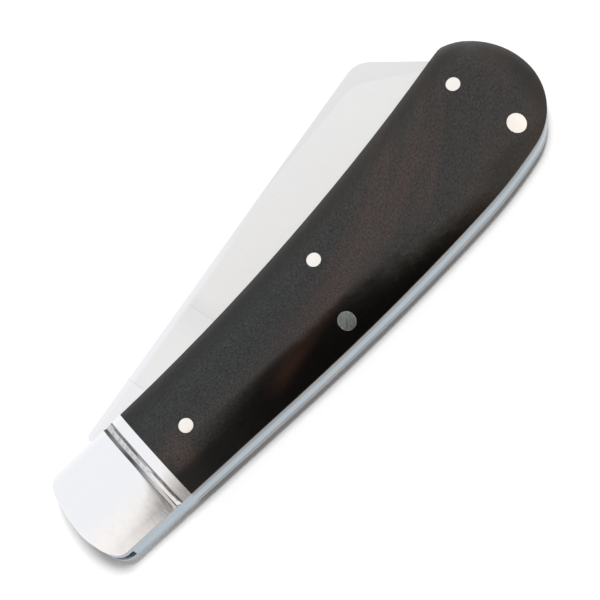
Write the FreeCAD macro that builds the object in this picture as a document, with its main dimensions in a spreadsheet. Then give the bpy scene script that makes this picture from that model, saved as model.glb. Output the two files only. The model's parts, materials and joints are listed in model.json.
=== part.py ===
import FreeCAD, Part
import math
import os

import Sketcher
from FreeCAD import Placement, Rotation, Vector

# Folding pocket knife: one wide blade in a swayback handle with metal bolsters at the pivot end.
# The working frame has the pivot axis along Z through the origin, X from the bolsters to the butt,
# Y towards the side where the closed blade stands out, and Z = 0 on the knife's middle plane.
# Each finished piece is then moved so that the closed knife lies on Z = 0, centred on the origin.

# Driving sizes in millimetres and degrees
SIZES = {
    # Stock thicknesses, from the middle plane outwards
    "blade_stock": 2.70,
    "spring_stock": 2.80,
    "liner_stock": 1.50,
    "cover_stock": 3.30,
    # Handle outline
    "top_radius": 374.0,
    "butt_upper_radius": 13.10,
    "butt_lower_radius": 11.333,
    "foot_radius": 82.9,
    "belly_radius": 430.0,
    "end_radius": 24.0,
    "end_low_radius": 11.8,
    "end_top_round": 2.2,
    "end_back_round": 2.6,
    "butt_corner_round": 1.6,
    "end_edge_round": 1.2,
    # Crown of the covers: how far in from the outline it starts, and how far it falls
    "crown_run": 7.20,
    "crown_drop": 2.90,
    "crown_lift": 0.02,
    "crown_overrun": 0.80,
    "crown_cutter_height": 1.0,
    "crown_corner_radius": 7.4,
    # Bolster joint and decoration, as places along the handle
    "joint_place": 8.56,
    "flute_place": 5.75,
    "flute_width": 1.50,
    "flute_depth": 0.40,
    "scribe_place": 6.63,
    "scribe_width": 0.30,
    "scribe_depth": 0.12,
    "flute_sweep": 60.0,
    # Pins and rivets
    "pivot_pin_diameter": 4.00,
    "pivot_play": 0.05,
    "center_pin_diameter": 2.90,
    "end_pin_diameter": 3.175,
    "cover_pin_diameter": 2.38,
    "rivet_diameter": 2.00,
    "rivet_bite": 1.50,
    # Backspring
    "arm_radius": 183.4,
    "hump_radius": 31.4,
    "waist_radius": 80.4,
    "tail_radius": 99.67,
    "tail_bow_radius": 8.0,
    # Blade
    "closed_angle": 12.64,
    "tang_radius": 6.00,
    "choil_place": 29.4,
    "choil_radius": 1.20,
    "shoulder_round": 0.80,
    "spine_corner_round": 4.50,
    "tang_length": 15.6,
    "tang_relief": 0.04,
    "grind_start": 30.8,
    "grind_top": 8.60,
    "grind_edge_half": 0.30,
    "edge_bevel": 0.93,
    "edge_half": 0.03,
    "swedge_start": 50.0,
    "swedge_inner_x": 75.3,
    "swedge_inner_y": 7.0,
    "swedge_corner_half": 1.10,
    "swedge_tip_half": 0.20,
    # Reach of the cutting boxes, well past every piece
    "cutter_reach": 120.0,
    # Where the working frame's origin lies in the finished frame, set once the knife is measured
    "frame_x": 0.0,
    "frame_y": 0.0,
}

# Named points of the handle, in the working frame
HANDLE_POINTS = {
    "end_top": (-5.969, 7.884),
    "joint_top": (8.35, 8.10),
    "butt_corner": (85.921, 17.425),
    "butt_end": (93.71, 5.45),
    "butt_foot": (85.423, -5.466),
    "back_rise": (72.032, -7.755),
    "back_belly": (30.427, -9.371),
    "end_back": (-6.018, -9.022),
    "end_low": (-8.19, -2.20),
    "crown_start": (-12.0, 7.795),
    "crown_corner_in": (82.991, 16.769),
    "crown_corner_out": (89.732, 14.853),
    "crown_finish": (-12.0, -8.964),
}
# The backspring's stock, left long where the handle form trims it
SPRING_POINTS = {
    "nose_back": (-4.05, -14.0),
    "nose_face": (-4.05, -5.04),
    "arm_start": (10.0, -5.04),
    "hump_start": (39.2, -2.70),
    "hump_end": (49.2, -2.70),
    "tail_waist": (62.0, -3.725),
    "tail_rise": (74.0, -3.00),
    "tail_top": (80.5, 1.90),
    "tail_end": (97.0, 1.90),
    "tail_back": (97.0, -14.0),
}
# The blade's own frame: pivot at the origin, X along the blade, Y towards its spine
BLADE_POINTS = {
    "shoulder_top": (4.16, 9.02),
    "spine_end": (78.85, 9.02),
    "tip": (89.40, -6.98),
    "heel": (8.23, -6.98),
    "closed_face_end": (-4.309, -4.178),
    "open_face_end": (-3.286, 5.02),
    "shoulder_root": (4.16, 5.02),
}
PIN_POINTS = {
    "pivot": (0.0, 0.0),
    "spring_center": (44.19, -6.29),
    "spring_end": (84.95, -1.50),
    "cover_bolster": (15.05, -1.36),
    "cover_middle": (47.04, 4.39),
    "cover_butt": (82.31, 10.19),
    "rivet_upper": (3.0, 4.6),
    "rivet_lower": (3.0, -5.4),
}
POINTS = {**HANDLE_POINTS, **SPRING_POINTS, **BLADE_POINTS, **PIN_POINTS}

# Which way an arc turns on the way along an outline
LEFT = 1
RIGHT = -1

# Sizes that several features share, as expressions of the sheet's cells
INNER_FACE = "(Dimensions.spring_stock / 2)"
LINER_FACE = f"({INNER_FACE} + Dimensions.liner_stock)"
HALF = f"({LINER_FACE} + Dimensions.cover_stock)"
CROWN_RADIUS = "((Dimensions.crown_run ^ 2 + Dimensions.crown_drop ^ 2) / (2 * Dimensions.crown_drop))"
REACH = "Dimensions.cutter_reach"

SIDES = ("front", "rear")

# How near two points or heights count as the same, in millimetres
NEAR = 0.01

doc = FreeCAD.newDocument("FoldingKnife")
sheet = doc.addObject("Spreadsheet::Sheet", "Dimensions")


def fill_sheet():
    """Write every driving size and named point into the sheet, one aliased cell each."""
    cells = dict(SIZES)
    for name, (x, y) in POINTS.items():
        cells[name + "_x"] = x
        cells[name + "_y"] = y
    for row, (alias, number) in enumerate(cells.items(), start=1):
        sheet.set(f"A{row}", alias)
        sheet.set(f"B{row}", str(number))
        sheet.setAlias(f"B{row}", alias)
    doc.recompute()


def size(expression):
    """The value of an expression of the sheet's cells, as a plain number."""
    return float(sheet.evalExpression(expression))


def bind(item, **expressions):
    """Bind properties of an object to expressions; a double underscore stands for a dot."""
    for name, expression in expressions.items():
        item.setExpression(name.replace("__", "."), expression)


def point(name):
    """A named point as a vector on the middle plane."""
    return Vector(sheet.get(name + "_x"), sheet.get(name + "_y"), 0)


def plane_of(body, role):
    """One of a body's own origin planes."""
    return next(item for item in body.Origin.OriginFeatures if item.Role == role)


def new_sketch(body, name, role="XY_Plane"):
    """An empty sketch on one of the body's origin planes."""
    sketch = body.newObject("Sketcher::SketchObject", name)
    sketch.AttachmentSupport = [(plane_of(body, role), "")]
    sketch.MapMode = "FlatFace"
    return sketch


def tie(sketch, name, expression, kind, *geometry):
    """Add a named constraint whose value is an expression of the sheet's cells."""
    place = sketch.addConstraint(Sketcher.Constraint(kind, *geometry, size(expression)))
    sketch.renameConstraint(place, name)
    sketch.setExpression(f"Constraints.{name}", expression)


def join(sketch, *ends):
    """Make two ends of segments coincide."""
    sketch.addConstraint(Sketcher.Constraint("Coincident", *ends))


def hold_point(sketch, index, vertex, name):
    """Tie one end of a segment to a named point."""
    for kind, axis in (("DistanceX", "x"), ("DistanceY", "y")):
        tie(sketch, f"{name}_{axis}", f"Dimensions.{name}_{axis}", kind, -1, 1, index, vertex)


def arc_between(start, end, radius, turn):
    """The short arc of a radius from start to end, turning left or right on the way."""
    chord = end - start
    half = chord.Length / 2
    sagitta = radius - math.sqrt(radius * radius - half * half)
    side = Vector(chord.y, -chord.x, 0).normalize()
    return Part.Arc(start, (start + end) / 2 + side * sagitta * turn, end)


def draw_chain(sketch, steps, last=None):
    """Draw segments from point to point, fully tied to the sheet.

    A step is the name of the point that a straight segment leaves, or (point, radius cell, turn) for an arc.
    The chain closes on its first point unless a last point is given.
    """
    steps = [step if isinstance(step, tuple) else (step, None, LEFT) for step in steps]
    names = [step[0] for step in steps]
    ends = names[1:] + [last or names[0]]
    links = []
    for (name, radius, turn), end_name in zip(steps, ends):
        if radius is None:
            index = sketch.addGeometry(Part.LineSegment(point(name), point(end_name)))
        else:
            index = sketch.addGeometry(arc_between(point(name), point(end_name), sheet.get(radius), turn))
            tie(sketch, f"{name}_arc", f"Dimensions.{radius}", "Radius", index)
        # A sketched arc always runs anticlockwise, so a right-hand turn starts at its second end
        links.append((index, 2, 1) if turn == RIGHT else (index, 1, 2))
    for name, (index, start, end) in zip(names, links):
        hold_point(sketch, index, start, name)
    followers = links[1:] if last else links[1:] + links[:1]
    for (index, start, end), (next_index, next_start, next_end) in zip(links, followers):
        join(sketch, index, end, next_index, next_start)
    if last:
        index, start, end = links[-1]
        hold_point(sketch, index, end, last)


def pad_both_ways(body, name, sketch, thickness):
    """Pad a sketch by a thickness, half to each side of the middle plane."""
    pad = body.newObject("PartDesign::Pad", name)
    pad.Profile = sketch
    pad.SideType = "Symmetric"
    bind(pad, Length=thickness)
    doc.recompute()
    return pad


def fillet_edges(body, name, base, edges, radius):
    """Round the chosen edges of a feature."""
    fillet = body.newObject("PartDesign::Fillet", name)
    fillet.Base = (base, edges)
    bind(fillet, Radius=f"Dimensions.{radius}")
    doc.recompute()
    return fillet


def round_corners(body, base, rounds):
    """Round the upright edges that stand on named points, one radius cell for each."""
    for corner, radius in rounds.items():
        where = point(corner)
        edges = []
        for number, edge in enumerate(base.Shape.Edges, start=1):
            box = edge.BoundBox
            upright = box.ZLength > box.XLength + box.YLength + NEAR
            if upright and math.hypot(box.Center.x - where.x, box.Center.y - where.y) < NEAR:
                edges.append(f"Edge{number}")
        base = fillet_edges(body, f"Round_{corner}", base, edges, radius)
    return base


def mirror_across_middle(body, name, originals):
    """Repeat cuts on the other side of the middle plane."""
    mirrored = body.newObject("PartDesign::Mirrored", name)
    mirrored.Originals = originals
    mirrored.MirrorPlane = (plane_of(body, "XY_Plane"), [""])
    body.Tip = mirrored
    doc.recompute()


def draw_crown_section(section):
    """The cutter that crowns the covers: a convex arc below, open air above it."""
    center_x = "Dimensions.crown_start_y - Dimensions.crown_run"
    center_y = f"{HALF} + Dimensions.crown_lift - {CROWN_RADIUS}"
    lid_y = f"{HALF} + Dimensions.crown_cutter_height"
    radius = size(CROWN_RADIUS)
    center = Vector(size(center_x), size(center_y), 0)
    reach = math.asin(size("Dimensions.crown_run + Dimensions.crown_overrun") / radius)
    crest = center + Vector(0, radius, 0)
    middle = center + Vector(math.sin(reach / 2), math.cos(reach / 2), 0) * radius
    low = center + Vector(math.sin(reach), math.cos(reach), 0) * radius
    above_crest = Vector(crest.x, size(lid_y), 0)
    above_low = Vector(low.x, size(lid_y), 0)
    arc = section.addGeometry(Part.Arc(low, middle, crest))
    rise = section.addGeometry(Part.LineSegment(crest, above_crest))
    lid = section.addGeometry(Part.LineSegment(above_crest, above_low))
    fall = section.addGeometry(Part.LineSegment(above_low, low))
    join(section, arc, 2, rise, 1)
    join(section, rise, 2, lid, 1)
    join(section, lid, 2, fall, 1)
    join(section, fall, 2, arc, 1)
    for kind, line in (("Vertical", rise), ("Horizontal", lid), ("Vertical", fall)):
        section.addConstraint(Sketcher.Constraint(kind, line))
    tie(section, "crown_arc", CROWN_RADIUS, "Radius", arc)
    tie(section, "center_x", center_x, "DistanceX", -1, 1, arc, 3)
    tie(section, "center_y", center_y, "DistanceY", -1, 1, arc, 3)
    tie(section, "crest_x", center_x, "DistanceX", -1, 1, arc, 2)
    tie(section, "low_x", "Dimensions.crown_start_y + Dimensions.crown_overrun", "DistanceX", -1, 1, arc, 1)
    tie(section, "lid_y", lid_y, "DistanceY", -1, 1, lid, 1)


def make_handle_form():
    """The closed handle as one crowned form, which every handle piece is sliced from."""
    body = doc.addObject("PartDesign::Body", "HandleForm")
    outline = new_sketch(body, "HandleOutline")
    draw_chain(outline, [
        "end_top",
        ("joint_top", "top_radius", LEFT),
        ("butt_corner", "butt_upper_radius", RIGHT),
        ("butt_end", "butt_lower_radius", RIGHT),
        ("butt_foot", "foot_radius", RIGHT),
        ("back_rise", "belly_radius", RIGHT),
        "back_belly",
        ("end_back", "end_low_radius", RIGHT),
        ("end_low", "end_radius", RIGHT),
    ])
    base = pad_both_ways(body, "HandlePad", outline, f"2 * {HALF}")
    base = round_corners(body, base, {
        "end_top": "end_top_round",
        "end_back": "end_back_round",
        "butt_corner": "butt_corner_round",
    })
    end_edges = []
    for number, edge in enumerate(base.Shape.Edges, start=1):
        box = edge.BoundBox
        on_face = box.ZLength < NEAR and abs(abs(box.ZMax) - size(HALF)) < NEAR
        if on_face and box.XMax < point("pivot").x and box.YMin < point("pivot").y < box.YMax:
            end_edges.append(f"Edge{number}")
    fillet_edges(body, "EndEase", base, end_edges, "end_edge_round")

    route = new_sketch(body, "CrownRoute")
    draw_chain(route, [
        "crown_start",
        ("joint_top", "top_radius", LEFT),
        ("crown_corner_in", "crown_corner_radius", RIGHT),
        ("crown_corner_out", "butt_upper_radius", RIGHT),
        ("butt_end", "butt_lower_radius", RIGHT),
        ("butt_foot", "foot_radius", RIGHT),
        ("back_rise", "belly_radius", RIGHT),
        "back_belly",
    ], last="crown_finish")
    section = new_sketch(body, "CrownSection", "YZ_Plane")
    bind(section, AttachmentOffset__Base__z="Dimensions.crown_start_x")
    draw_crown_section(section)
    crown = body.newObject("PartDesign::SubtractivePipe", "Crown")
    crown.Profile = section
    crown.Spine = (route, [])
    crown.Mode = "Binormal"
    crown.Binormal = Vector(0, 0, 1)
    crown.Transition = "Transformed"
    doc.recompute()
    mirror_across_middle(body, "CrownBothFaces", [crown])
    return body


def make_slice(name, low_x, high_x, low_z, high_z):
    """A box that cuts one layer out of the handle form."""
    box = doc.addObject("Part::Box", name)
    bind(
        box,
        Length=f"{high_x} - ({low_x})",
        Width=f"2 * {REACH}",
        Height=f"{high_z} - ({low_z})",
        Placement__Base__x=low_x,
        Placement__Base__y=f"-{REACH}",
        Placement__Base__z=low_z,
    )
    return box


def make_cutter(name, place, diameter, low_z, high_z):
    """The cylinder of one pin, which also drills its holes."""
    cutter = doc.addObject("Part::Cylinder", name)
    bind(
        cutter,
        Radius=f"Dimensions.{diameter} / 2",
        Height=f"{high_z} - ({low_z})",
        Placement__Base__x=f"Dimensions.{place}_x",
        Placement__Base__y=f"Dimensions.{place}_y",
        Placement__Base__z=low_z,
    )
    return cutter


def combine(kind, name, base, tool):
    """The Common or the Cut of two objects."""
    item = doc.addObject(f"Part::{kind}", name)
    item.Base = base
    item.Tool = tool
    return item


def fuse(name, shapes):
    """Several objects as one."""
    item = doc.addObject("Part::MultiFuse", name)
    item.Shapes = shapes
    return item


def make_flute(name, place, width, depth):
    """A round groove that follows the crown across a bolster's face."""
    radius = f"((Dimensions.{width} / 2) ^ 2 + Dimensions.{depth} ^ 2) / (2 * Dimensions.{depth})"
    lift = f"({radius} - Dimensions.{depth})"
    upper = "(Dimensions.joint_top_y - Dimensions.crown_run)"
    lower = "(Dimensions.end_back_y + Dimensions.crown_run)"
    flat = doc.addObject("Part::Cylinder", name + "Flat")
    flat.Placement = Placement(Vector(), Rotation(Vector(1, 0, 0), -90))
    bind(
        flat,
        Radius=radius,
        Height=f"{upper} - {lower}",
        Placement__Base__y=lower,
        Placement__Base__z=f"{HALF} + {lift}",
    )
    parts = [flat]
    for side, start, sign in (("Upper", upper, 1), ("Lower", lower, -1)):
        bend = doc.addObject("Part::Torus", name + side)
        turned = Rotation(Vector(0, 0, 1), Vector(0, sign, 0), Vector(-sign, 0, 0), "ZXY")
        bend.Placement = Placement(Vector(), turned)
        bind(
            bend,
            Radius1=f"{CROWN_RADIUS} + {lift}",
            Radius2=radius,
            Angle3="Dimensions.flute_sweep",
            Placement__Base__y=start,
            Placement__Base__z=f"{HALF} - {CROWN_RADIUS}",
        )
        parts.append(bend)
    for part in parts:
        bind(part, Placement__Base__x=f"Dimensions.{place}")
    return parts


def make_grooves():
    """The wide flute and the fine scribed line of the front bolster, and the same for the rear one."""
    front = fuse("FrontFlutes", [
        *make_flute("Flute", "flute_place", "flute_width", "flute_depth"),
        *make_flute("Scribe", "scribe_place", "scribe_width", "scribe_depth"),
    ])
    rear = doc.addObject("Part::Mirroring", "RearFlutes")
    rear.Source = front
    rear.Normal = Vector(0, 0, 1)
    return {"front": front, "rear": rear}


def make_spring_stock():
    """The backspring before the handle form trims its back."""
    body = doc.addObject("PartDesign::Body", "SpringStock")
    sketch = new_sketch(body, "SpringOutline")
    draw_chain(sketch, [
        "nose_back",
        "nose_face",
        ("arm_start", "arm_radius", LEFT),
        ("hump_start", "hump_radius", RIGHT),
        ("hump_end", "waist_radius", LEFT),
        ("tail_waist", "tail_radius", LEFT),
        ("tail_rise", "tail_bow_radius", LEFT),
        "tail_top",
        "tail_end",
        "tail_back",
    ])
    pad_both_ways(body, "SpringPad", sketch, "Dimensions.spring_stock")
    return body


def cut_above_plane(body, name, corner, along, across, bounded=True):
    """Cut away what lies above a sloping plane that two directions span.

    A bounded cut starts at the corner and runs along both directions; any other has the corner in its middle.
    """
    first = Vector(along).normalize()
    upright = first.cross(across).normalize()
    if upright.z < 0:
        upright = -upright
    second = upright.cross(first)
    reach = size(REACH)
    if not bounded:
        corner = corner - (first + second) * (reach / 2)
    elif second.dot(across) < 0:
        corner = corner - second * reach
    box = body.newObject("PartDesign::SubtractiveBox", name)
    box.Placement = Placement(corner, Rotation(first, second, upright, "ZXY"))
    bind(box, Length=REACH, Width=REACH, Height="Dimensions.blade_stock")
    doc.recompute()
    return box


def make_blade():
    """Blade and tang in one: flat tang, relieved ricasso, full flat grind, edge bevel and swedges."""
    body = doc.addObject("PartDesign::Body", "Blade")
    sketch = new_sketch(body, "BladeOutline")
    draw_chain(sketch, [
        "shoulder_top",
        "spine_end",
        "tip",
        "heel",
        ("closed_face_end", "tang_radius", RIGHT),
        "open_face_end",
        "shoulder_root",
    ])
    hole_radius = "Dimensions.pivot_pin_diameter / 2 + Dimensions.pivot_play"
    hole = sketch.addGeometry(Part.Circle(Vector(), Vector(0, 0, 1), size(hole_radius)))
    join(sketch, hole, 3, -1, 1)
    tie(sketch, "pivot_hole", hole_radius, "Radius", hole)
    pad = pad_both_ways(body, "BladePad", sketch, "Dimensions.blade_stock")
    round_corners(body, pad, {"shoulder_top": "shoulder_round", "spine_end": "spine_corner_round"})

    notch = new_sketch(body, "ChoilOutline")
    notch_center = Vector(sheet.get("choil_place"), sheet.get("heel_y"), 0)
    ring = notch.addGeometry(Part.Circle(notch_center, Vector(0, 0, 1), sheet.get("choil_radius")))
    tie(notch, "choil_arc", "Dimensions.choil_radius", "Radius", ring)
    tie(notch, "choil_x", "Dimensions.choil_place", "DistanceX", -1, 1, ring, 3)
    tie(notch, "choil_y", "Dimensions.heel_y", "DistanceY", -1, 1, ring, 3)
    choil = body.newObject("PartDesign::Pocket", "Choil")
    choil.Profile = notch
    choil.SideType = "Symmetric"
    bind(choil, Length="2 * Dimensions.blade_stock")
    doc.recompute()

    lengthways = Vector(1, 0, 0)
    edge_y = sheet.get("tip_y")
    face = size("Dimensions.blade_stock / 2 - Dimensions.tang_relief")
    grind_x = sheet.get("grind_start")
    grind_y = sheet.get("grind_top")
    slope = (face - sheet.get("grind_edge_half")) / (grind_y - edge_y)

    def ground(x, y):
        """The point of the flat grind above a place on the blade."""
        return Vector(x, y, face - slope * (grind_y - y))

    relief_corner = Vector(sheet.get("tang_length"), -size(REACH) / 2, face)
    relief = cut_above_plane(body, "TangRelief", relief_corner, lengthways, Vector(0, 1, 0))
    grind = cut_above_plane(
        body, "FlatGrind", ground(grind_x, grind_y), lengthways, Vector(0, -1, -slope))
    bevel_top = ground(grind_x, edge_y + sheet.get("edge_bevel"))
    bevel_foot = Vector(grind_x, edge_y, sheet.get("edge_half"))
    bevel = cut_above_plane(body, "EdgeBevel", bevel_top, lengthways, bevel_foot - bevel_top)

    start = Vector(sheet.get("swedge_start"), sheet.get("spine_end_y"), face)
    inner = ground(sheet.get("swedge_inner_x"), sheet.get("swedge_inner_y"))
    corner = point("spine_end") + Vector(0, 0, sheet.get("swedge_corner_half"))
    tip = point("tip") + Vector(0, 0, sheet.get("swedge_tip_half"))
    drop = cut_above_plane(body, "PointSwedge", corner, tip - corner, inner - corner, bounded=False)
    spine = cut_above_plane(body, "SpineSwedge", corner, inner - start, corner - inner, bounded=False)
    mirror_across_middle(body, "BothSides", [relief, grind, bevel, drop, spine])
    return body


def across_middle(side, low_z, high_z):
    """A span of heights on the front side, or the same span mirrored to the rear side."""
    if side == "front":
        return low_z, high_z
    return f"-{high_z}", f"-{low_z}"


def make_cutters():
    """The cylinders of every pin and rivet, keyed by the name of the node."""
    beyond = f"(2 * {HALF})"
    cutters = {}
    for name, place, diameter in (
        ("pivot_pin", "pivot", "pivot_pin_diameter"),
        ("spring_center_pin", "spring_center", "center_pin_diameter"),
        ("spring_end_pin", "spring_end", "end_pin_diameter"),
    ):
        cutters[name] = make_cutter(f"{name}_cutter", place, diameter, f"-{beyond}", beyond)
    for side in SIDES:
        span = across_middle(side, INNER_FACE, beyond)
        for spot in ("bolster", "middle", "butt"):
            name = f"{side}_cover_pin_{spot}"
            cutters[name] = make_cutter(f"{name}_cutter", f"cover_{spot}", "cover_pin_diameter", *span)
        span = across_middle(side, INNER_FACE, f"({LINER_FACE} + Dimensions.rivet_bite)")
        for spot in ("upper", "lower"):
            name = f"{side}_bolster_rivet_{spot}"
            cutters[name] = make_cutter(f"{name}_cutter", f"rivet_{spot}", "rivet_diameter", *span)
    return cutters


def make_pieces():
    """Every sub-part of the knife, keyed by the name of its node."""
    form = make_handle_form()
    cutters = make_cutters()
    holes = fuse("PinHoles", list(cutters.values()))
    grooves = make_grooves()
    pieces = {name: combine("Common", name, form, cutter) for name, cutter in cutters.items()}
    joint = "Dimensions.joint_place"
    layers = {
        "liner": (f"-{REACH}", REACH, INNER_FACE, LINER_FACE),
        "bolster": (f"-{REACH}", joint, LINER_FACE, HALF),
        "scale": (joint, REACH, LINER_FACE, HALF),
    }
    for side in SIDES:
        for layer, (low_x, high_x, low_z, high_z) in layers.items():
            name = f"{side}_{layer}"
            block = make_slice(f"{name}_slice", low_x, high_x, *across_middle(side, low_z, high_z))
            blank = combine("Common", f"{name}_blank", form, block)
            if layer == "bolster":
                blank = combine("Cut", f"{name}_fluted", blank, grooves[side])
            pieces[name] = combine("Cut", name, blank, holes)
    spring_blank = combine("Common", "backspring_blank", form, make_spring_stock())
    pieces["backspring"] = combine("Cut", "backspring", spring_blank, holes)
    pieces["blade"] = make_blade()
    for name, piece in pieces.items():
        piece.Label = name
    doc.recompute()
    return pieces


def place_pieces(pieces):
    """Fold the blade in, then lay the knife on Z = 0 with the middle of its box over the origin."""
    blade = pieces["blade"]
    blade.Placement = Placement(Vector(), Rotation(Vector(0, 0, 1), sheet.get("closed_angle")))
    bind(blade, Placement__Rotation__Angle="Dimensions.closed_angle")
    doc.recompute()
    box = FreeCAD.BoundBox()
    for piece in pieces.values():
        box.add(piece.Shape.optimalBoundingBox(False))
    sheet.set("frame_x", f"{-box.Center.x:.4f}")
    sheet.set("frame_y", f"{-box.Center.y:.4f}")
    for piece in pieces.values():
        bind(
            piece,
            Placement__Base__x="Dimensions.frame_x",
            Placement__Base__y="Dimensions.frame_y",
            Placement__Base__z=HALF,
        )
    doc.recompute()


def check_document(pieces):
    """Stop if any object failed, or if a sub-part is not one valid solid."""
    for item in doc.Objects:
        if "Invalid" in item.State or "Error" in item.State:
            raise RuntimeError(f"{item.Label} failed: {item.State}")
    for name, piece in pieces.items():
        if piece.Shape.isNull() or not piece.Shape.isValid():
            raise RuntimeError(f"{name} has no valid shape")
        if len(piece.Shape.Solids) != 1:
            raise RuntimeError(f"{name} is {len(piece.Shape.Solids)} solids, not one")


def main():
    fill_sheet()
    pieces = make_pieces()
    check_document(pieces)
    place_pieces(pieces)
    check_document(pieces)
    print(f"pivot axis at x {sheet.get('frame_x'):.4f}, y {sheet.get('frame_y'):.4f}")
    os.makedirs("parts", exist_ok=True)
    for name, piece in pieces.items():
        piece.Shape.exportStep(f"parts/{name}.step")
        box = piece.Shape.optimalBoundingBox(False)
        print(f"{name}: {piece.Shape.Volume:.2f} mm3, x {box.XMin:.2f} to {box.XMax:.2f}, "
              f"y {box.YMin:.2f} to {box.YMax:.2f}, z {box.ZMin:.2f} to {box.ZMax:.2f}")


main()
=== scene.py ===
"""Looks of a closed folding pocket knife: dark wood, polished bolsters, satin blade, bright back."""

import json
import math

import bpy
from mathutils import Matrix, Vector

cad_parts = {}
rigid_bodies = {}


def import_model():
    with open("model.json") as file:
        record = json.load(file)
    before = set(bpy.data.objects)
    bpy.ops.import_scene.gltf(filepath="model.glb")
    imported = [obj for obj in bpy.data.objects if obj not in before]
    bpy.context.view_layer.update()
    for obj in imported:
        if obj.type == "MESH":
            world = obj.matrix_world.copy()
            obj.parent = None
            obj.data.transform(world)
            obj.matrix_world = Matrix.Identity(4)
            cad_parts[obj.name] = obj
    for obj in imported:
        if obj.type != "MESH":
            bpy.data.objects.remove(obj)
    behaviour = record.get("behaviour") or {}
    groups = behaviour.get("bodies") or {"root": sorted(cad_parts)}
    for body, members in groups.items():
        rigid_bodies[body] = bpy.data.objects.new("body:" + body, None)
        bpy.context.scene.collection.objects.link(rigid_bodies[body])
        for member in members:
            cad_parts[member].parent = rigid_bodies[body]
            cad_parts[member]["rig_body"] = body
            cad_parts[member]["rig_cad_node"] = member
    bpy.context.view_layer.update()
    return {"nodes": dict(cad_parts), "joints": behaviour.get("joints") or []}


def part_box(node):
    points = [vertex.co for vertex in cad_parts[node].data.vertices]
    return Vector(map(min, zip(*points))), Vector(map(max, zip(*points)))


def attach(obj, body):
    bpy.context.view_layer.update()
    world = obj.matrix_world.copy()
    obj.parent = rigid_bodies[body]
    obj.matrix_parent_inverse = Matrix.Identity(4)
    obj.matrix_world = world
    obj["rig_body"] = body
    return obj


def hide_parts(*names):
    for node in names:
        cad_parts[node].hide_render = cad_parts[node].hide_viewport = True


bl_info = {
    "name": "Folding Pocket Knife",
    "version": (1, 0, 0),
    "blender": (4, 5, 0),
    "location": "View3D > Sidebar > Knife",
    "description": "Finishes the pieces of a folding pocket knife and sets its stage",
    "category": "Object",
}

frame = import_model()
NODES = frame["nodes"]
SIDES = ("front", "rear")
COVER_PIN_SPOTS = ("bolster", "middle", "butt")
RIVET_SPOTS = ("upper", "lower")
MM = 0.001
WHITE = (1, 1, 1, 1)
PIVOT = Vector(frame["joints"][0]["pos_m"])

# How the pieces' meshes are treated, and how deep their finest relief is
MERGE = 0.0005 * MM
FLAT = math.radians(0.02)
SHARP = math.radians(30)
EASE_STEPS = 3
KEEN = 0.4 * MM
RIM = 0.2 * MM
RELIEF = 0.02 * MM

# From here on, places are in millimetres, and waves are counted to a millimetre. A ramp says where a mask
# starts and where it is full, and then its values at both, if these aren't 0 and 1.

# Metal: how its fine lines and its smudges change roughness and tone
SMUDGE_SIZE = 6.0
LINE_ROUGH = (0.25, 0.75)
LINE_TINT = (0.3, 0.7)
SMUDGE_ROUGH = (0.3, 0.7)

# Wood: how the grain sweeps and wanders, and its patterns
SWEEP_START = -5.0
SWEEP_RATE = 0.01
WANDER = 10.0
WANDER_WAVES = (0.03, 0.06, 0.02)
BROAD = {"waves": (0.016, 0.21, 0.12), "detail": 2.0, "roughness": 0.5}
FIGURE = {"waves": (0.028, 0.22, 0.2), "detail": 3.0, "roughness": 0.55}
FIBRE = {"waves": (0.35, 6.0, 6.0), "detail": 3.0, "roughness": 0.6}
SPECKLE = {"waves": (3.0, 5.5, 5.5), "detail": 2.0, "roughness": 0.7}

# Wood: ramps of the brown ground and the streaks in it, and of the painted shade along the back, near-black
# where the crown mirrors the dark part of the room, with a brown border
BROWN_FIGURE = (0.35, 0.65, 0.45, 1.0)
BROWN_ALONG = (-10.0, 30.0, 0.22, 1.0)
STREAKS_BROAD = (0.54, 0.70)
STREAKS_FIBRE = (0.2, 0.8, 0.6, 1.0)
HEART_SHADE_SHARE = 0.9
HEART_SHADE_ALONG = (34.0, 18.0, 0.0, HEART_SHADE_SHARE)
HEART_SHADE_ACROSS = (-8.5, -12.5)
SHADE_FRINGE_FIGURE = (0.35, 0.60, 1.5, 4.0)
SHADE_FRINGE_ALONG = (14.0, 4.0)

# Wood: the long brown streak, whose middle is a curve, and the brown patch by the bolster
STREAK_PLACE = -10.75
STREAK_SLOPE = 0.265
STREAK_BOW = 0.0008
STREAK_HALF = (2.4, 0.2)
STREAK_FOOT = (-17.0, -9.0)
STREAK_HEAD = (36.0, 24.0)
PATCH_X = -30.8
PATCH_HALF = (3.2, 0.4)
PATCH_UPPER = (-7.0, -10.5)
PATCH_LOWER = (-15.5, -13.5)
STREAK_FIGURE = (0.35, 0.60, 0.55, 1.0)

# Wood: its polish, and where its sheen is cut as painted shade
POLISH_SPECKLE = (0.32, 0.68, 0.2, 1.0)
CROWN_SHADE = (0.2, 0.6, 1.0, 0.15)
CORNER_ALONG = (-22.0, -29.0)
CORNER_ACROSS = (-13.0, -15.0)
FOOT_ALONG = (27.0, 35.0)
FOOT_ACROSS = (-10.0, -12.5, 0.0, 0.5)
CORNERS_SHADE = (0.0, 1.0, 1.0, 0.1)
FIBRE_ROUGH = (0.3, 0.7)
GLOSS_SPREAD = (-0.02, 0.03)
FIBRE_DEPTH = 0.06
WOOD_IOR = 1.33
POLISH_IOR = 1.5
POLISH_ROUGHNESS = 0.10
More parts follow.
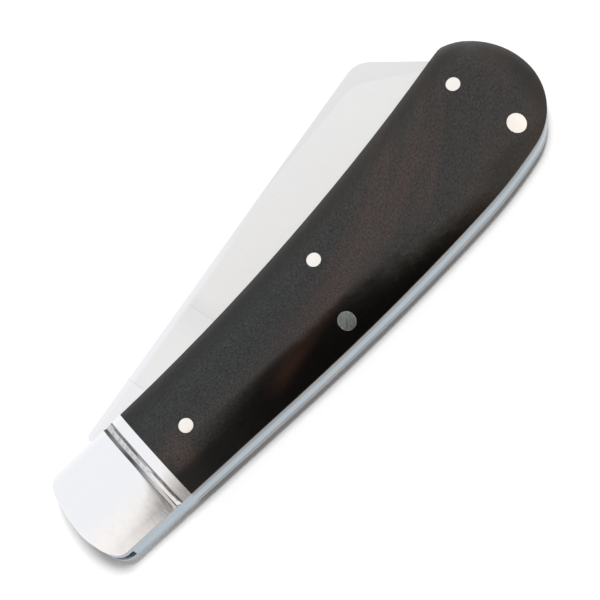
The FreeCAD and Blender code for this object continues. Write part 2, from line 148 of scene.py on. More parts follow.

# Bolsters: the flute, the scribed line and the joint with the wood; the dull patches and painted shade in
# the flute, the painted shade beside it, and the painted shade on the side walls
FLUTE_X = PIVOT.x / MM + 5.75
SCRIBE_X = PIVOT.x / MM + 6.63
JOINT_X = PIVOT.x / MM + 8.56
FLUTE_INSIDE = (0.78, 0.68)
FLUTE_FRONT = (0.02, -0.28)
FLUTE_LIP = -0.75
FLUTE_DARK_ACROSS = (-14.0, -6.5, 0.45, 1.0)
FRONT_SHADE_LOW_Y = -4.0
FRONT_SHADE_REACH = (0.0, 4.0, 0.8, 1.0)
SPOT_WAVES = (1.6, 0.9, 1.0)
SPOTS = (0.35, 0.70, 0.24, 0.60)
SCRIBE_INSIDE = (0.18, 0.11, 0.0, 0.72)
BESIDE_SHADE_BACK = -13.9
BESIDE_SHADE_GROWTH = 1.25
BESIDE_SHADE_REACH = 5.0
BESIDE_SHADE_AHEAD = 0.79
BESIDE_SHADE_BEHIND = (-12.0, -17.5, 0.0, 0.66)
BESIDE_SHADE_WAVES = (5.0, 0.5, 0.5)
BESIDE_SHADE_STREAKS = (0.3, 0.7, 0.82, 1.0)
WALL_UPRIGHT = (0.5, 0.3)

# Blade, in its own frame at the pivot: how far it is turned when closed, its tang, its grind and its
# swedges, and the painted shade at the plunge and on the swedges
CLOSED_ANGLE = math.radians(12.64)
TANG_LENGTH = 15.6
GRIND_START = 30.8
GRIND_TOP = 8.60
SPINE_TOP = 9.02
SWEDGE_START = 50.0
SWEDGE_INNER = Vector((75.3, 7.0))
POINT_TIP = Vector((89.40, -6.98))
PLUNGE_BEFORE = (GRIND_START - 6.0, GRIND_START - 1.0, 0.0, 0.35)
PLUNGE_AFTER = (GRIND_START + 3.0, GRIND_START, 0.0, 0.45)
PLUNGE_LINE = (0.22, 0.06)
TANG_FLAT = (TANG_LENGTH + 0.3, TANG_LENGTH - 0.3, 0.0, 0.45)
SPINE_FLAT = (GRIND_TOP - 1.0, GRIND_TOP - 0.2)
SPINE_FADE = (50.0, 32.0, 0.1, 1.0)
SWEDGE_ROUND = 1.2
SWEDGE_BORDER = (-0.15, 0.15)

# Liners: where painted shade darkens them
LINER_SHADE_ALONG = (JOINT_X - 0.3, JOINT_X + 0.3)
LINER_SHADE_REAR = (4.9, 3.6, 0.0, 0.85)

# Stage: in metres, where the camera's view starts and how far off the paper is lifted, and the room by
# direction. Each row of the dark part's sides says which way it lies, where it begins, and how much more
# steeply the dark falls away from there on.
CLIP_START = 0.01
PAPER_FAR = (0.05, 1.3)
SHADE_ACROSS = (-0.30, 0.10)
DARK_SIDES = ((-1, -0.02, 11.0), (-1, 0.031, 60.0), (1, 0.10, 9.0), (1, 0.17, -6.5))
DARK_ACROSS = (0.45, -0.25)
DARK_UP = (0.05, 0.3)
BROWN_DARK = (0.1, 0.7)
WARM_ACROSS = (0.32, -0.55)
HALF_BOUNCE = 0.5


def colour(name, description, default):
    """A colour setting."""
    return bpy.props.FloatVectorProperty(
        name=name, description=description, subtype="COLOR", size=4, min=0, max=1, default=(*default, 1))


def share(name, description, default):
    """A setting from 0 to 1."""
    return bpy.props.FloatProperty(
        name=name, description=description, subtype="FACTOR", min=0, max=1, default=default)


def strength(name, description, default):
    """A setting of 0 or more."""
    return bpy.props.FloatProperty(name=name, description=description, min=0, default=default)


def length(name, description, default):
    """A length setting, in metres."""
    return bpy.props.FloatProperty(
        name=name, description=description, unit="LENGTH", precision=5, default=default)


def place(name, description, default):
    """A place setting, in metres."""
    return bpy.props.FloatVectorProperty(
        name=name, description=description, subtype="TRANSLATION", unit="LENGTH", default=default)


class KnifeFinish(bpy.types.PropertyGroup):
    """Colours and gloss of the knife's surfaces."""

    # Painted shade: near-black wood along the back, where the crown mirrors the dark part of the room
    wood_heart_shade: colour("Wood, heart", "Black heart of the covers", (0.0032, 0.0028, 0.0025))
    wood_grey: colour("Wood, grey", "Greyish ground of the covers", (0.0025, 0.0045, 0.0048))
    wood_brown: colour("Wood, brown", "Brown ground of the covers", (0.015, 0.0085, 0.0045))
    wood_red: colour("Wood, streak", "Reddish streaks along the grain", (0.026, 0.0125, 0.0085))
    wood_gloss: share("Wood roughness", "Roughness of the polished wood", 0.12)
    nickel: colour("Nickel silver", "Polished bolsters", (0.893, 0.897, 0.922))
    nickel_pin: colour("Pin heads", "Nickel silver pins, ground flush", (0.96, 0.925, 0.87))
    pin_steel: colour("Steel pin", "Steel pin through the middle of the backspring", (0.32, 0.358, 0.346))
    blade: colour("Blade steel", "Satin ground faces of the blade", (0.868, 0.8625, 0.858))
    flat: colour("Blade flats", "Brighter flats of the tang and along the spine", (0.92, 0.918, 0.949))
    # Painted shade: darker steel where the grind runs out before the tang
    shade: colour("Plunge", "Duller steel where the grind runs out before the tang", (0.768, 0.764, 0.762))
    # Painted shade: the swedges' darker tone stands in for their tilt away from the bright room
    swedge_shade: colour("Swedges", "Ground bevels of the spine and the point", (0.812, 0.808, 0.803))
    spring: colour("Spring steel", "Back of the spring", (0.36, 0.44, 0.50))
    liner: colour("Liner steel", "Edge of the front liner by the bolster", (0.38, 0.425, 0.47))
    # Painted shade: a darker copy of the liner steel, on the liners along the wood and low on the rear one,
    # and on the bolsters' side walls
    liner_shade: colour("Dull steel", "Other edges of the liners, bolsters' side walls", (0.25, 0.255, 0.265))
    # Dull patches in the flute, and painted shade on its front wall and beside it
    tarnish_and_shade: colour("Tarnish", "Dull film in the flute and beside it", (0.055, 0.050, 0.042))


class KnifeEdges(bpy.types.PropertyGroup):
    """How far each piece's edges are eased."""

    cover: length("Covers", "Eased edge of the wooden covers", 0.10 * MM)
    blade: length("Blade", "Eased edge of the blade's spine and tang", 0.06 * MM)
    back: length("Spring and liners", "Eased edges along the back", 0.10 * MM)
    pin: length("Pins", "Eased rim of the pin heads", 0.05 * MM)


class KnifeStage(bpy.types.PropertyGroup):
    """Camera, floor and light."""

    eye: place("Camera", "Where the camera stands", (-0.02316, -0.0971422, 0.300))
    target: place("Target", "The point in the middle of the picture", (-0.00116, -0.0051422, 0.0062))
    roll: bpy.props.FloatProperty(
        name="Roll", description="How far the camera leans about its own axis", subtype="ANGLE",
        default=math.radians(-43.93))
    lens: bpy.props.FloatProperty(
        name="Lens", description="Focal length on a 36 mm sensor", unit="CAMERA", default=116.95)
    floor: colour("Floor", "White paper that the knife lies on", (0.97, 0.97, 0.97))
    floor_size: length("Floor size", "Side of the paper", 6.0)
    floor_lift: share("Paper white", "How much the paper by the knife is lifted towards white", 0.12)
    gloss_sky: strength("Reflected room", "Strength of the white room that polish shows", 1.0)
    cool_room: colour("Room, blade's side", "Tint of the room on the blade's side", (0.985, 0.99, 1))
    warm_room: colour("Room, back's side", "Tint of the room on the back's side", (1, 0.96, 0.92))
    brown_room: colour("Room, dark", "Tint of the room where it turns dark", (1, 0.88, 0.76))
    warm_gain: strength("Warm side", "How much brighter the room is on the back's side", 1.11)
    dark_sky: share("Dark part", "Share of the room's strength that is left in its dark part", 0.01)
    sky: strength("Sky", "Strength of the shade light on the blade's side", 0.24)
    low_sky: strength("Back sky", "Strength of the shade light on the back's side", 0.10)
    key_place: place("Softbox", "Where the softbox hangs", (0.07, -0.022, 0.90))
    key_size: length("Softbox size", "Side of the softbox", 0.19)
    key_power: bpy.props.FloatProperty(
        name="Softbox power", description="Power of the softbox", unit="POWER", min=0, default=6.6)


class KnifeSettings(bpy.types.PropertyGroup):
    """Everything that a user would change."""

    finish: bpy.props.PointerProperty(type=KnifeFinish)
    edges: bpy.props.PointerProperty(type=KnifeEdges)
    stage: bpy.props.PointerProperty(type=KnifeStage)


class NodeBench:
    """Adds nodes to a tree from left to right, and wires them by the names or numbers of their sockets."""

    COLUMN = 220

    def __init__(self, tree):
        self.tree = tree
        self.count = 0

    def add(self, kind, inputs=None, **settings):
        """One node, with its settings and with values or other nodes' outputs on its inputs."""
        node = self.tree.nodes.new(kind)
        node.location = (self.COLUMN * self.count, 0)
        self.count += 1
        for name, value in settings.items():
            setattr(node, name, value)
        for name, value in (inputs or {}).items():
            if isinstance(value, bpy.types.NodeSocket):
                self.tree.links.new(value, node.inputs[name])
            else:
                node.inputs[name].default_value = value
        return node

    def math(self, operation, first, second=0.0, clamp=False):
        """The output of one sum."""
        node = self.add("ShaderNodeMath", {0: first, 1: second}, operation=operation, use_clamp=clamp)
        return node.outputs[0]

    def plus(self, first, second):
        """Two values added."""
        return self.math("ADD", first, second)

    def minus(self, first, second):
        """The second value taken from the first."""
        return self.math("SUBTRACT", first, second)

    def times(self, first, *others):
        """All the values multiplied."""
        product = first
        for other in others:
            product = self.math("MULTIPLY", product, other)
        return product

    def most(self, first, second):
        """The greater of two values."""
        return self.math("MAXIMUM", first, second)

    def apart(self, first, second):
        """How far two values lie apart."""
        return self.math("ABSOLUTE", self.minus(first, second))

    def ramp(self, value, start, full, at_start=0.0, at_full=1.0):
        """A value turned smoothly into another one, from where that starts to where it is full."""
        span = {"Value": value, "From Min": start, "From Max": full, "To Min": at_start, "To Max": at_full}
        return self.add("ShaderNodeMapRange", span, interpolation_type="SMOOTHSTEP").outputs["Result"]

    def mix(self, factor, first, second):
        """Two colours mixed, on sockets that share their names with others and so go by number."""
        return self.add("ShaderNodeMix", {0: factor, 6: first, 7: second}, data_type="RGBA").outputs[2]

    def lerp(self, factor, first, second):
        """Two values mixed."""
        inputs = {"Factor": factor, "A": first, "B": second}
        return self.add("ShaderNodeMix", inputs, data_type="FLOAT").outputs["Result"]

    def noise(self, vector, scale=1.0, detail=2.0, roughness=0.5):
        """Noise from 0 to 1."""
        inputs = {"Vector": vector, "Scale": scale, "Detail": detail, "Roughness": roughness}
        return self.add("ShaderNodeTexNoise", inputs).outputs["Fac"]

    def split(self, vector):
        """The three parts of a vector."""
        return tuple(self.add("ShaderNodeSeparateXYZ", {"Vector": vector}).outputs)

    def place_in_mm(self, turn=0.0, waves=(1, 1, 1)):
        """Where a point of the surface is, in millimetres, turned and scaled for a pattern."""
        where = self.add("ShaderNodeTexCoord").outputs["Object"]
        turned = self.add("ShaderNodeMapping", {"Vector": where, "Rotation": (0, 0, turn)})
        scale = tuple(part / MM for part in waves)
        return self.add("ShaderNodeMapping", {"Vector": turned.outputs[0], "Scale": scale}).outputs[0]

    def place_on_blade(self):
        """Where a point is in the blade's own frame: millimetres along it and towards its spine."""
        where = self.add("ShaderNodeTexCoord").outputs["Object"]
        mapped = self.add("ShaderNodeMapping", {
            "Vector": where, "Location": PIVOT, "Rotation": (0, 0, CLOSED_ANGLE), "Scale": (MM, MM, MM)},
            vector_type="TEXTURE")
        along, towards_spine, _ = self.split(mapped.outputs[0])
        return along, towards_spine

    def facing(self):
        """Which way the surface faces, in three parts."""
        return self.split(self.add("ShaderNodeTexCoord").outputs["Normal"])


def new_material(name):
    """A material without nodes, and the bench to add them on."""
    material = bpy.data.materials.new(name)
    material.use_nodes = True
    material.node_tree.nodes.clear()
    return material, NodeBench(material.node_tree)


def close_material(bench, inputs):
    """The Principled shader and the material's output."""
    shader = bench.add("ShaderNodeBsdfPrincipled", inputs)
    bench.add("ShaderNodeOutputMaterial", {"Surface": shader.outputs[0]})


def satin_lines_group():
    """Shared effect: the fine parallel lines that a belt leaves on metal, and softer smudges over them."""
    name = "Satin lines"
    if name in bpy.data.node_groups:
        return bpy.data.node_groups[name]
    group = bpy.data.node_groups.new(name, "ShaderNodeTree")
    group.interface.new_socket("Place", in_out="INPUT", socket_type="NodeSocketVector")
    group.interface.new_socket("Smudge size", in_out="INPUT", socket_type="NodeSocketFloat")
    for output in ("Lines", "Smudges"):
        group.interface.new_socket(output, in_out="OUTPUT", socket_type="NodeSocketFloat")
    bench = NodeBench(group)
    given = bench.add("NodeGroupInput")
    lines = bench.noise(given.outputs["Place"], detail=3.0, roughness=0.65)
    smudge_scale = bench.math("DIVIDE", 1.0, given.outputs["Smudge size"])
    smudges = bench.noise(bench.place_in_mm(), smudge_scale)
    bench.add("NodeGroupOutput", {"Lines": lines, "Smudges": smudges})
    return group


def satin_metal(name, base, gloss, waves, turn=0.0, line_depth=0.05, smudge=0.05, tint=0.03, layers=()):
    """A metal with fine belt lines.

    Gloss is its least and greatest roughness, tint is how much darker its lines are at most, and layers are
    pairs of a function that makes a mask and the colour that lies there.
    """
    material, bench = new_material(name)
    satin = bench.add("ShaderNodeGroup", node_tree=satin_lines_group())
    bench.tree.links.new(bench.place_in_mm(turn, waves), satin.inputs["Place"])
    satin.inputs["Smudge size"].default_value = SMUDGE_SIZE
    lines = satin.outputs["Lines"]
    smudged = bench.ramp(satin.outputs["Smudges"], *SMUDGE_ROUGH, 0.0, smudge)
    roughness = bench.plus(bench.ramp(lines, *LINE_ROUGH, *gloss), smudged)
    darker = tuple(part * (1 - tint) for part in base[:3]) + (1,)
    tone = bench.mix(bench.ramp(lines, *LINE_TINT), darker, base)
    for mask, layer_tone in layers:
        tone = bench.mix(mask(bench), tone, layer_tone)
    bump = bench.add("ShaderNodeBump", {"Strength": line_depth, "Distance": RELIEF, "Height": lines})
    close_material(bench, {
        "Base Color": tone, "Metallic": 1.0, "Roughness": roughness, "Normal": bump.outputs[0]})
    return material


def wood_grain(bench, along, across, depth):
    """A place in the grain, which runs along the handle, wanders, and sweeps at the butt."""
    past_start = bench.most(bench.minus(along, SWEEP_START), 0.0)
    sweep = bench.times(past_start, past_start, SWEEP_RATE)
    waves = bench.noise(bench.place_in_mm(waves=WANDER_WAVES), detail=1.0)
    wander = bench.times(bench.minus(waves, 0.5), WANDER)
    over_grain = bench.plus(bench.minus(across, sweep), wander)
    return bench.add("ShaderNodeCombineXYZ", {"X": along, "Y": over_grain, "Z": depth}).outputs[0]


def grain_noise(bench, grain, waves, detail, roughness):
    """Noise that follows the grain."""
    stretched = bench.add("ShaderNodeMapping", {"Vector": grain, "Scale": waves})
    return bench.noise(stretched.outputs[0], detail=detail, roughness=roughness)


def streaked_ground(bench, finish, along, grain, figure, fibre):
    """A grey ground that turns brown towards the butt, with reddish streaks along the grain."""
    browned = bench.times(bench.ramp(figure, *BROWN_FIGURE), bench.ramp(along, *BROWN_ALONG))
    ground = bench.mix(browned, finish.wood_grey, finish.wood_brown)
    broad = grain_noise(bench, grain, **BROAD)
    streaks = bench.times(bench.ramp(broad, *STREAKS_BROAD), bench.ramp(fibre, *STREAKS_FIBRE))
    return bench.mix(streaks, ground, finish.wood_red)


def add_heart_shade(bench, finish, tone, along, across, figure):
    """Painted shade along the back, where the crown mirrors the dark part of the room: the wood turned
    near-black, with a brown border.
    """
    heart_shade = bench.times(bench.ramp(across, *HEART_SHADE_ACROSS), bench.ramp(along, *HEART_SHADE_ALONG))
    heart_shaded = bench.mix(heart_shade, tone, finish.wood_heart_shade)
    border = bench.times(heart_shade, bench.minus(HEART_SHADE_SHARE, heart_shade))
    gain = bench.times(bench.ramp(figure, *SHADE_FRINGE_FIGURE), bench.ramp(along, *SHADE_FRINGE_ALONG))
    shade_fringe = bench.math("MULTIPLY", border, gain, clamp=True)
    return bench.mix(shade_fringe, heart_shaded, finish.wood_red)


def add_brown_streaks(bench, finish, tone, along, across, figure):
    """One long brown streak that crosses the handle with the grain, and a short one by the bolster."""
    slope = bench.plus(bench.times(along, STREAK_BOW), STREAK_SLOPE)
    middle = bench.plus(bench.times(along, slope), STREAK_PLACE)
    ends = bench.times(bench.ramp(along, *STREAK_FOOT), bench.ramp(along, *STREAK_HEAD))
    long_streak = bench.times(bench.ramp(bench.apart(across, middle), *STREAK_HALF), ends)
    width = bench.times(bench.ramp(across, *PATCH_UPPER), bench.ramp(across, *PATCH_LOWER))
    patch = bench.times(bench.ramp(bench.apart(along, PATCH_X), *PATCH_HALF), width)
    mottled = bench.times(bench.most(long_streak, patch), bench.ramp(figure, *STREAK_FIGURE))
    return bench.mix(mottled, tone, finish.wood_red)


def shaded_polish(bench, along, across, speckle):
    """Speckled polish, whose sheen is cut as painted shade where the crown faces the blade or the butt, and
    in two corners.
    """
    to_butt, to_blade, _ = bench.facing()
    crown = bench.ramp(bench.most(to_butt, to_blade), *CROWN_SHADE)
    corner = bench.times(bench.ramp(along, *CORNER_ALONG), bench.ramp(across, *CORNER_ACROSS))
    foot = bench.times(bench.ramp(along, *FOOT_ALONG), bench.ramp(across, *FOOT_ACROSS))
    corners = bench.ramp(bench.most(corner, foot), *CORNERS_SHADE)
    return bench.times(bench.ramp(speckle, *POLISH_SPECKLE), bench.times(crown, corners))


def wood_material(finish):
    """Dense blackish-brown hardwood: curving grain, soft brown streaks, fine speckle, a polish."""
    material, bench = new_material("polished dark wood")
    along, across, depth = bench.split(bench.place_in_mm())
    grain = wood_grain(bench, along, across, depth)
    figure = grain_noise(bench, grain, **FIGURE)
    fibre = grain_noise(bench, grain, **FIBRE)
    speckle = grain_noise(bench, grain, **SPECKLE)
    ground = streaked_ground(bench, finish, along, grain, figure, fibre)
    # Painted shade: the wood turned near-black along the back
    heart_shaded = add_heart_shade(bench, finish, ground, along, across, figure)
    tone = add_brown_streaks(bench, finish, heart_shaded, along, across, figure)
    gloss = tuple(finish.wood_gloss + spread for spread in GLOSS_SPREAD)
    bump = bench.add("ShaderNodeBump", {"Strength": FIBRE_DEPTH, "Distance": RELIEF, "Height": fibre})
    # The polish's sheen is cut as painted shade where the crown faces the blade or the butt, and in two
    # corners
    close_material(bench, {
        "Base Color": tone, "Roughness": bench.ramp(fibre, *FIBRE_ROUGH, *gloss), "IOR": WOOD_IOR,
        "Normal": bump.outputs[0], "Coat Weight": shaded_polish(bench, along, across, speckle),
        "Coat IOR": POLISH_IOR, "Coat Roughness": POLISH_ROUGHNESS})
    return material


def flute_film_and_shade(bench):
    """Darker in the flute: painted shade on its front wall, mottled dull patches towards the blade, and the
    scribed line darkened.
    """
    along, across, _ = bench.split(bench.place_in_mm())
    into_flute = bench.minus(along, FLUTE_X)
    inside = bench.ramp(bench.math("ABSOLUTE", into_flute), *FLUTE_INSIDE)
    near_blade = bench.ramp(across, *FLUTE_DARK_ACROSS)
    front_shade_level = bench.times(near_blade, bench.ramp(bench.apart(across, FRONT_SHADE_LOW_Y), *FRONT_SHADE_REACH))
    front_wall_shade = bench.times(bench.ramp(into_flute, *FLUTE_FRONT), front_shade_level)
    spots = bench.noise(bench.place_in_mm(waves=SPOT_WAVES), detail=4.0, roughness=0.7)
    mottled = bench.times(near_blade, bench.ramp(spots, *SPOTS))
    flute = bench.times(inside, bench.most(front_wall_shade, mottled))
    return bench.most(flute, bench.ramp(bench.apart(along, SCRIBE_X), *SCRIBE_INSIDE))


def shade_beside_flute(bench):
    """Painted shade on both sides of the flute, where the crown mirrors the dark part of the room; it
    reaches farther ahead of the flute the nearer the back is.
    """
    along, across, _ = bench.split(bench.place_in_mm())
    into_flute = bench.minus(along, FLUTE_X)
    outside = bench.minus(1.0, bench.ramp(bench.math("ABSOLUTE", into_flute), *FLUTE_INSIDE))
    away = bench.most(bench.minus(FLUTE_LIP, into_flute), 0.0)
    growth = bench.math("EXPONENT", bench.math("DIVIDE", bench.minus(BESIDE_SHADE_BACK, across), BESIDE_SHADE_GROWTH))
    reach = bench.math("MINIMUM", growth, BESIDE_SHADE_REACH)
    fade = bench.math("EXPONENT", bench.times(bench.math("DIVIDE", away, reach), -1.0))
    is_behind = bench.math("GREATER_THAN", into_flute, 0.0)
    shade_film = bench.lerp(is_behind, bench.times(fade, BESIDE_SHADE_AHEAD), bench.ramp(across, *BESIDE_SHADE_BEHIND))
    streaks = bench.ramp(bench.noise(bench.place_in_mm(waves=BESIDE_SHADE_WAVES)), *BESIDE_SHADE_STREAKS)
    return bench.times(outside, shade_film, streaks)


def bolster_walls_shade(bench):
    """Painted shade on the bolsters' upright side walls."""
    _, _, upright = bench.facing()
    return bench.ramp(bench.math("ABSOLUTE", upright), *WALL_UPRIGHT)


def blade_plunge_shade(bench):
    """Painted shade where the grind runs out, on both sides of its line before the tang."""
    along, _ = bench.place_on_blade()
    is_ground = bench.math("GREATER_THAN", along, GRIND_START)
    shaded = bench.lerp(is_ground, bench.ramp(along, *PLUNGE_BEFORE), bench.ramp(along, *PLUNGE_AFTER))
    return bench.most(shaded, bench.ramp(bench.apart(along, GRIND_START), *PLUNGE_LINE))


def blade_flats(bench):
    """The flat of the tang, and the strip along the spine, which fades along the blade."""
    along, towards_spine = bench.place_on_blade()
    strip = bench.times(bench.ramp(towards_spine, *SPINE_FLAT), bench.ramp(along, *SPINE_FADE))
    return bench.most(bench.ramp(along, *TANG_FLAT), strip)


def blade_swedges_shade(bench):
    """The bevels of the spine and of the point, whose borders run into each other in a round; their darker
    tone is painted shade, as they are tilted away from the bright room.
    """
    along, towards_spine = bench.place_on_blade()
    fall = (SPINE_TOP - SWEDGE_INNER.y) / (SWEDGE_INNER.x - SWEDGE_START)
    drop = bench.times(bench.minus(SWEDGE_START, along), fall)
    past_spine = bench.minus(bench.minus(towards_spine, SPINE_TOP), drop)
    border = POINT_TIP - SWEDGE_INNER
    outwards = Vector((-border.y, border.x)).normalized()
    over_point = bench.plus(bench.times(along, outwards.x), bench.times(towards_spine, outwards.y))
    past_point = bench.minus(over_point, outwards.dot(SWEDGE_INNER))
    borders = {0: past_spine, 1: past_point, 2: SWEDGE_ROUND}
    rounded = bench.add("ShaderNodeMath", borders, operation="SMOOTH_MAX")
    return bench.ramp(rounded.outputs[0], *SWEDGE_BORDER)


def liner_shade_places(bench):
    """Painted shade on the liners along the wood behind the bolsters, and low down on the rear one all
    along.
    """
    along, _, up = bench.split(bench.place_in_mm())
    return bench.most(bench.ramp(along, *LINER_SHADE_ALONG), bench.ramp(up, *LINER_SHADE_REAR))


def dress(names, material):
    """Give CAD pieces whose shape stays as it is a finish of their own."""
    for name in names:
        node = NODES[name]
        node.data.materials.clear()
        node.data.materials.append(material)


def loose_copy(node):
    """A copy of a CAD piece, merged into one skin and free of its body."""
    bpy.ops.object.select_all(action="DESELECT")
    node.select_set(True)
    bpy.context.view_layer.objects.active = node
    bpy.ops.object.duplicate()
    piece = bpy.context.object
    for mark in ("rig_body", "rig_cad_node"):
        del piece[mark]
    bpy.ops.object.parent_clear(type="CLEAR_KEEP_TRANSFORM")
    bpy.ops.object.mode_set(mode="EDIT")
    bpy.ops.mesh.select_all(action="SELECT")
    bpy.ops.mesh.remove_doubles(threshold=MERGE)
    bpy.ops.mesh.customdata_custom_splitnormals_clear()
    bpy.ops.mesh.dissolve_limited(angle_limit=FLAT)
    bpy.ops.object.mode_set(mode="OBJECT")
    return piece


def ease_edges(piece, width, spare=None):
    """Round off the sharp edges, apart from those whose middle the spare test picks out."""
    bpy.ops.object.mode_set(mode="EDIT")
    bpy.ops.mesh.select_mode(type="EDGE")
    bpy.ops.mesh.select_all(action="DESELECT")
    bpy.ops.mesh.edges_select_sharp(sharpness=SHARP)
    if spare:
        bpy.ops.object.mode_set(mode="OBJECT")
        points = piece.data.vertices
        for edge in piece.data.edges:
            first, second = (points[index].co for index in edge.vertices)
            if edge.select and spare((first + second) / 2):
                edge.select = False
        bpy.ops.object.mode_set(mode="EDIT")
    bpy.ops.mesh.bevel(offset=width, segments=EASE_STEPS, affect="EDGES", clamp_overlap=False)
    bpy.ops.object.mode_set(mode="OBJECT")


def shade_softly(piece):
    """Smooth shading in which the broad faces stay true and the eased edges turn."""
    bpy.ops.object.shade_smooth_by_angle(angle=SHARP)
    bpy.ops.object.modifier_add(type="WEIGHTED_NORMAL")
    piece.modifiers[-1].keep_sharp = True
    bpy.ops.object.modifier_apply(modifier=piece.modifiers[-1].name)


def finish_pieces(names, body, width, material, spare=None):
    """Stand an eased and finished piece in for each of these CAD nodes."""
    for name in names:
        piece = loose_copy(NODES[name])
        piece.name = f"{name}_finished"
        ease_edges(piece, width, spare)
        shade_softly(piece)
        piece.data.materials.clear()
        piece.data.materials.append(material)
        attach(piece, body)
        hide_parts(name)


class KNIFE_OT_covers(bpy.types.Operator):
    """Finish the two wooden covers"""

    bl_idname = "knife.covers"
    bl_label = "Wooden Covers"

    def execute(self, context):
        knife = context.scene.knife
        names = [f"{side}_scale" for side in SIDES]
        pins = ["spring_center_pin", "spring_end_pin"]
        pins += [f"front_cover_pin_{spot}" for spot in COVER_PIN_SPOTS]
        rims = [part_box(name) for name in pins]

        def by_pin(spot):
            """The wood is flush with the pins, so their holes keep sharp rims."""
            for low, high in rims:
                middle = (low + high) / 2
                if (spot.xy - middle.xy).length < (high.x - low.x) / 2 + RIM:
                    return True
            return False

        finish_pieces(names, "handle", knife.edges.cover, wood_material(knife.finish), by_pin)
        return {"FINISHED"}


class KNIFE_OT_bolsters(bpy.types.Operator):
    """Finish the two fluted bolsters and the pivot pin that is polished into them"""

    bl_idname = "knife.bolsters"
    bl_label = "Bolsters"

    def execute(self, context):
        finish = context.scene.knife.finish
        layers = (
            # Dull patches and painted shade in the flute, and painted shade beside it
            (flute_film_and_shade, finish.tarnish_and_shade),
            (shade_beside_flute, finish.tarnish_and_shade),
            # Painted shade on the bolsters' side walls
            (bolster_walls_shade, finish.liner_shade))
        metal = satin_metal(
            "polished nickel silver", finish.nickel, gloss=(0.10, 0.14), waves=(4.0, 0.25, 0.25),
            line_depth=0.0, smudge=0.01, tint=0.012, layers=layers)
        names = [f"{side}_bolster" for side in SIDES]
        dress(names + ["pivot_pin"], metal)
        return {"FINISHED"}


class KNIFE_OT_blade(bpy.types.Operator):
    """Finish the blade, with its cutting edge left keen"""

    bl_idname = "knife.blade"
    bl_label = "Blade"

    def execute(self, context):
        knife = context.scene.knife
        finish = knife.finish
        layers = (
            # Painted shade at the plunge
            (blade_plunge_shade, finish.shade),
            (blade_flats, finish.flat),
            # Painted shade on the swedges
            (blade_swedges_shade, finish.swedge_shade))
        metal = satin_metal(
            "satin blade steel", finish.blade, gloss=(0.26, 0.34), waves=(10.0, 0.3, 0.3),
            turn=-CLOSED_ANGLE, layers=layers)
        low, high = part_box("blade")
        middle = (low.z + high.z) / 2

        def keen(spot):
            """The cutting edge lies in the blade's middle plane."""
            return abs(spot.z - middle) < KEEN

        finish_pieces(["blade"], "blade", knife.edges.blade, metal, keen)
        return {"FINISHED"}


class KNIFE_OT_back(bpy.types.Operator):
    """Finish the backspring and the liners, whose edges show along the back"""

    bl_idname = "knife.back"
    bl_label = "Backspring and Liners"

    def execute(self, context):
        knife = context.scene.knife
        finish = knife.finish
        ground = {"gloss": (0.24, 0.32), "waves": (0.3, 10.0, 10.0)}
        spring = satin_metal("spring steel", finish.spring, **ground)
        finish_pieces(["backspring"], "handle", knife.edges.back, spring)
        # Painted shade on the liners along the wood and low on the rear one
        layers = ((liner_shade_places, finish.liner_shade),)
        liner = satin_metal("liner steel", finish.liner, **ground, layers=layers)
        names = [f"{side}_liner" for side in SIDES]
        finish_pieces(names, "handle", knife.edges.back, liner)
        return {"FINISHED"}


class KNIFE_OT_pins(bpy.types.Operator):
    """Finish the pins and the hidden rivets"""

    bl_idname = "knife.pins"
    bl_label = "Pins"

    def execute(self, context):
        knife = context.scene.knife
        finish = knife.finish
        names = ["spring_end_pin"]
        rivets = []
        for side in SIDES:
            names += [f"{side}_cover_pin_{spot}" for spot in COVER_PIN_SPOTS]
            rivets += [f"{side}_bolster_rivet_{spot}" for spot in RIVET_SPOTS]
        nickel = satin_metal(
            "pin nickel silver", finish.nickel_pin, gloss=(0.22, 0.30), waves=(8.0, 0.8, 0.8), turn=0.4)
        finish_pieces(names, "handle", knife.edges.pin, nickel)
        dress(rivets, nickel)
        steel = satin_metal(
            "pin steel", finish.pin_steel, gloss=(0.18, 0.28), waves=(6.0, 0.8, 0.8), turn=0.7, tint=0.12)
        finish_pieces(["spring_center_pin"], "handle", knife.edges.pin, steel)
        return {"FINISHED"}


